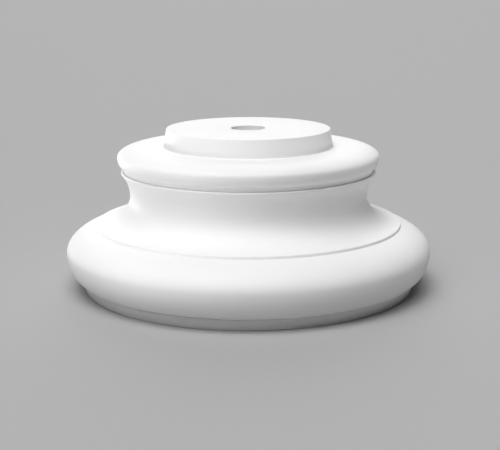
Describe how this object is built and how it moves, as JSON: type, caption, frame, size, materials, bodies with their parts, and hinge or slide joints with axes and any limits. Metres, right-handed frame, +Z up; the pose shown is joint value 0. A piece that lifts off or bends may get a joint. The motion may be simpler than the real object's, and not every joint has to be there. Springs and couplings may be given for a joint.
{
  "type": "column base",
  "caption": "Round moulded column base with a wide lower torus, scotia, upper torus, flat shaft seat and low boss, pierced by a central hole.",
  "frame": {"origin": "centre of the flat underside, on the axis of the base", "axes": "+Z up along the axis that the outline is turned around; +X and +Y in the plane of the floor, all directions alike"},
  "size_m": [0.3, 0.3, 0.13],
  "materials": {
    "white_primer": "smooth factory-primed white, eggshell"
  },
  "bodies": {
    "root": {"column_base": "white_primer"}
  },
  "joints": []
}
